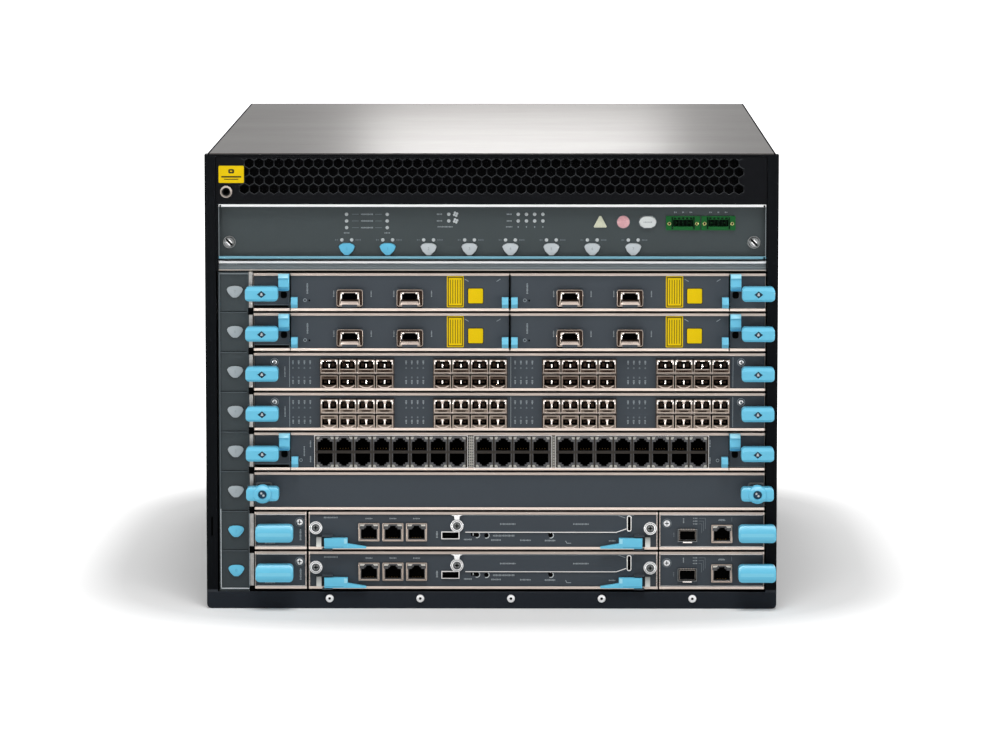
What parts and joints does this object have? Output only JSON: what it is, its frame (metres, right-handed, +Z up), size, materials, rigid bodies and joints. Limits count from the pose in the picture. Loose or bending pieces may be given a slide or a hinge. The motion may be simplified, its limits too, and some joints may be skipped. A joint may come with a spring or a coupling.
{
  "type": "modular chassis switch",
  "caption": "Rack chassis with eight horizontal cards, plug-in port modules, routing engines, a craft panel, a honeycomb air intake, rear power supplies and a fan tray.",
  "frame": {"origin": "centre of the underside of the body sheets", "axes": "+Z up, +X to the right seen from the front, the front faces -Y"},
  "size_m": [0.444, 0.6705, 0.3556],
  "materials": {
    "frame_black": "fine matt black paint",
    "panel_grey": "matt grey paint",
    "plate_slate": "matt slate paint with bare edges",
    "sheet_steel": "galvanised sheet",
    "cover_grey": "satin metallic grey",
    "rail_bright": "bright extruded",
    "strip_grey": "matt grey paint",
    "board_green": "solder mask",
    "guide_plastic": "moulded",
    "blue_plastic": "moulded light blue",
    "button_grey": "moulded, pale",
    "cap_grey": "moulded, pale grey",
    "socket_green": "moulded green",
    "cage_metal": "plated sheet",
    "jack_black": "moulded black",
    "socket_metal": "plated"
  },
  "bodies": {
    "chassis": {"base_pan": "sheet_steel", "side_wall_left": "sheet_steel", "side_wall_right": "sheet_steel", "top_cover": "cover_grey", "front_bezel": "frame_black", "intake_grille": "frame_black", "cage_shelf": "sheet_steel", "midplane": "board_green", "card_guides": "guide_plastic", "cage_rails": "rail_bright", "slot_strip": "strip_grey", "rear_panel": "sheet_steel", "craft_panel": "panel_grey", "slot_buttons": "button_grey", "alarm_sockets": "socket_green", "wrist_socket": "socket_metal"},
    "alarm_button": {"alarm_button": "cap_grey"},
    "carrier_1": {"carrier_1": "plate_slate"},
    "carrier_2": {"carrier_2": "plate_slate"},
    "carrier_5": {"carrier_5": "plate_slate"},
    "optic_card_3": {"optic_card_3": "plate_slate", "optics_3": "cage_metal"},
    "optic_card_4": {"optic_card_4": "plate_slate", "optics_4": "cage_metal"},
    "blank_panel_6": {"blank_panel_6": "plate_slate"},
    "fabric_card_7": {"fabric_card_7": "plate_slate"},
    "fabric_card_8": {"fabric_card_8": "plate_slate"},
    "module_1_left": {"module_1_left": "plate_slate"},
    "module_1_right": {"module_1_right": "plate_slate"},
    "module_2_left": {"module_2_left": "plate_slate"},
    "module_2_right": {"module_2_right": "plate_slate"},
    "copper_module_5": {"copper_module_5": "plate_slate", "jack_block_5": "jack_black"},
    "routing_engine_7": {"routing_engine_7": "plate_slate"},
    "lever_7_left": {"lever_7_left": "blue_plastic"},
    "lever_7_right": {"lever_7_right": "blue_plastic"},
    "routing_engine_8": {"routing_engine_8": "plate_slate"},
    "lever_8_left": {"lever_8_left": "blue_plastic"},
    "lever_8_right": {"lever_8_right": "blue_plastic"},
    "knob_1_left": {"knob_1_left": "blue_plastic"},
    "knob_1_right": {"knob_1_right": "blue_plastic"},
    "knob_2_left": {"knob_2_left": "blue_plastic"},
    "knob_2_right": {"knob_2_right": "blue_plastic"},
    "knob_3_left": {"knob_3_left": "blue_plastic"},
    "knob_3_right": {"knob_3_right": "blue_plastic"},
    "knob_4_left": {"knob_4_left": "blue_plastic"},
    "knob_4_right": {"knob_4_right": "blue_plastic"},
    "knob_5_left": {"knob_5_left": "blue_plastic"},
    "knob_5_right": {"knob_5_right": "blue_plastic"},
    "knob_6_left": {"knob_6_left": "blue_plastic"},
    "knob_6_right": {"knob_6_right": "blue_plastic"},
    "handle_7_left": {"handle_7_left": "blue_plastic"},
    "handle_7_right": {"handle_7_right": "blue_plastic"},
    "handle_8_left": {"handle_8_left": "blue_plastic"},
    "handle_8_right": {"handle_8_right": "blue_plastic"},
    "power_supply_1": {"power_supply_1": "sheet_steel"},
    "power_supply_2": {"power_supply_2": "sheet_steel"},
    "power_supply_3": {"power_supply_3": "sheet_steel"},
    "power_supply_4": {"power_supply_4": "sheet_steel"},
    "fan_tray": {"fan_tray": "sheet_steel"}
  },
  "joints": [
    {"name": "alarm_button_press", "type": "slide", "parent": "chassis", "child": "alarm_button", "axis": [0, 1, 0], "range_m": [0, 0.001], "stiffness_N_per_m": 400, "springref_m": -0.001},
    {"name": "card_1_slide", "type": "slide", "parent": "chassis", "child": "carrier_1", "axis": [0, -1, 0], "range_m": [0, 0.56]},
    {"name": "card_2_slide", "type": "slide", "parent": "chassis", "child": "carrier_2", "axis": [0, -1, 0], "range_m": [0, 0.56]},
    {"name": "card_3_slide", "type": "slide", "parent": "chassis", "child": "optic_card_3", "axis": [0, -1, 0], "range_m": [0, 0.56]},
    {"name": "card_4_slide", "type": "slide", "parent": "chassis", "child": "optic_card_4", "axis": [0, -1, 0], "range_m": [0, 0.56]},
    {"name": "card_5_slide", "type": "slide", "parent": "chassis", "child": "carrier_5", "axis": [0, -1, 0], "range_m": [0, 0.56]},
    {"name": "card_6_slide", "type": "slide", "parent": "chassis", "child": "blank_panel_6", "axis": [0, -1, 0], "range_m": [0, 0.56]},
    {"name": "card_7_slide", "type": "slide", "parent": "chassis", "child": "fabric_card_7", "axis": [0, -1, 0], "range_m": [0, 0.56]},
    {"name": "card_8_slide", "type": "slide", "parent": "chassis", "child": "fabric_card_8", "axis": [0, -1, 0], "range_m": [0, 0.56]},
    {"name": "module_1_left_slide", "type": "slide", "parent": "carrier_1", "child": "module_1_left", "axis": [0, -1, 0], "range_m": [0, 0.2]},
    {"name": "module_1_right_slide", "type": "slide", "parent": "carrier_1", "child": "module_1_right", "axis": [0, -1, 0], "range_m": [0, 0.2]},
    {"name": "module_2_left_slide", "type": "slide", "parent": "carrier_2", "child": "module_2_left", "axis": [0, -1, 0], "range_m": [0, 0.2]},
    {"name": "module_2_right_slide", "type": "slide", "parent": "carrier_2", "child": "module_2_right", "axis": [0, -1, 0], "range_m": [0, 0.2]},
    {"name": "copper_module_5_slide", "type": "slide", "parent": "carrier_5", "child": "copper_module_5", "axis": [0, -1, 0], "range_m": [0, 0.2]},
    {"name": "routing_engine_7_slide", "type": "slide", "parent": "fabric_card_7", "child": "routing_engine_7", "axis": [0, -1, 0], "range_m": [0, 0.26]},
    {"name": "lever_7_left_swing", "type": "hinge", "parent": "routing_engine_7", "child": "lever_7_left", "pos_m": [-0.1269, -0.3126, 0.05223], "axis": [0, 0, -1], "range_deg": [0, 70]},
    {"name": "lever_7_right_swing", "type": "hinge", "parent": "routing_engine_7", "child": "lever_7_right", "pos_m": [0.114, -0.3126, 0.05223], "axis": [0, 0, 1], "range_deg": [0, 70]},
    {"name": "routing_engine_8_slide", "type": "slide", "parent": "fabric_card_8", "child": "routing_engine_8", "axis": [0, -1, 0], "range_m": [0, 0.26]},
    {"name": "lever_8_left_swing", "type": "hinge", "parent": "routing_engine_8", "child": "lever_8_left", "pos_m": [-0.1269, -0.3126, 0.0211], "axis": [0, 0, -1], "range_deg": [0, 70]},
    {"name": "lever_8_right_swing", "type": "hinge", "parent": "routing_engine_8", "child": "lever_8_right", "pos_m": [0.114, -0.3126, 0.0211], "axis": [0, 0, 1], "range_deg": [0, 70]},
    {"name": "knob_1_left_turn", "type": "hinge", "parent": "carrier_1", "child": "knob_1_left", "pos_m": [-0.1773, -0.32, 0.24811], "axis": [0, -1, 0], "continuous": true},
    {"name": "knob_1_right_turn", "type": "hinge", "parent": "carrier_1", "child": "knob_1_right", "pos_m": [0.206, -0.32, 0.24811], "axis": [0, -1, 0], "continuous": true},
    {"name": "knob_2_left_turn", "type": "hinge", "parent": "carrier_2", "child": "knob_2_left", "pos_m": [-0.1773, -0.32, 0.21698], "axis": [0, -1, 0], "continuous": true},
    {"name": "knob_2_right_turn", "type": "hinge", "parent": "carrier_2", "child": "knob_2_right", "pos_m": [0.206, -0.32, 0.21698], "axis": [0, -1, 0], "continuous": true},
    {"name": "knob_3_left_turn", "type": "hinge", "parent": "optic_card_3", "child": "knob_3_left", "pos_m": [-0.1773, -0.32, 0.18585], "axis": [0, -1, 0], "continuous": true},
    {"name": "knob_3_right_turn", "type": "hinge", "parent": "optic_card_3", "child": "knob_3_right", "pos_m": [0.206, -0.32, 0.18585], "axis": [0, -1, 0], "continuous": true},
    {"name": "knob_4_left_turn", "type": "hinge", "parent": "optic_card_4", "child": "knob_4_left", "pos_m": [-0.1773, -0.32, 0.15472], "axis": [0, -1, 0], "continuous": true},
    {"name": "knob_4_right_turn", "type": "hinge", "parent": "optic_card_4", "child": "knob_4_right", "pos_m": [0.206, -0.32, 0.15472], "axis": [0, -1, 0], "continuous": true},
    {"name": "knob_5_left_turn", "type": "hinge", "parent": "carrier_5", "child": "knob_5_left", "pos_m": [-0.1773, -0.32, 0.12359], "axis": [0, -1, 0], "continuous": true},
    {"name": "knob_5_right_turn", "type": "hinge", "parent": "carrier_5", "child": "knob_5_right", "pos_m": [0.206, -0.32, 0.12359], "axis": [0, -1, 0], "continuous": true},
    {"name": "knob_6_left_turn", "type": "hinge", "parent": "blank_panel_6", "child": "knob_6_left", "pos_m": [-0.1773, -0.32, 0.09246], "axis": [0, -1, 0], "continuous": true},
    {"name": "knob_6_right_turn", "type": "hinge", "parent": "blank_panel_6", "child": "knob_6_right", "pos_m": [0.206, -0.32, 0.09246], "axis": [0, -1, 0], "continuous": true},
    {"name": "handle_7_left_turn", "type": "hinge", "parent": "fabric_card_7", "child": "handle_7_left", "pos_m": [-0.1684, -0.32, 0.06133], "axis": [0, -1, 0], "continuous": true},
    {"name": "handle_7_right_turn", "type": "hinge", "parent": "fabric_card_7", "child": "handle_7_right", "pos_m": [0.2062, -0.32, 0.06133], "axis": [0, -1, 0], "continuous": true},
    {"name": "handle_8_left_turn", "type": "hinge", "parent": "fabric_card_8", "child": "handle_8_left", "pos_m": [-0.1684, -0.32, 0.0302], "axis": [0, -1, 0], "continuous": true},
    {"name": "handle_8_right_turn", "type": "hinge", "parent": "fabric_card_8", "child": "handle_8_right", "pos_m": [0.2062, -0.32, 0.0302], "axis": [0, -1, 0], "continuous": true},
    {"name": "power_supply_1_slide", "type": "slide", "parent": "chassis", "child": "power_supply_1", "axis": [0, 1, 0], "range_m": [0, 0.36]},
    {"name": "power_supply_2_slide", "type": "slide", "parent": "chassis", "child": "power_supply_2", "axis": [0, 1, 0], "range_m": [0, 0.36]},
    {"name": "power_supply_3_slide", "type": "slide", "parent": "chassis", "child": "power_supply_3", "axis": [0, 1, 0], "range_m": [0, 0.36]},
    {"name": "power_supply_4_slide", "type": "slide", "parent": "chassis", "child": "power_supply_4", "axis": [0, 1, 0], "range_m": [0, 0.36]},
    {"name": "fan_tray_slide", "type": "slide", "parent": "chassis", "child": "fan_tray", "axis": [0, 1, 0], "range_m": [0, 0.5]}
  ]
}
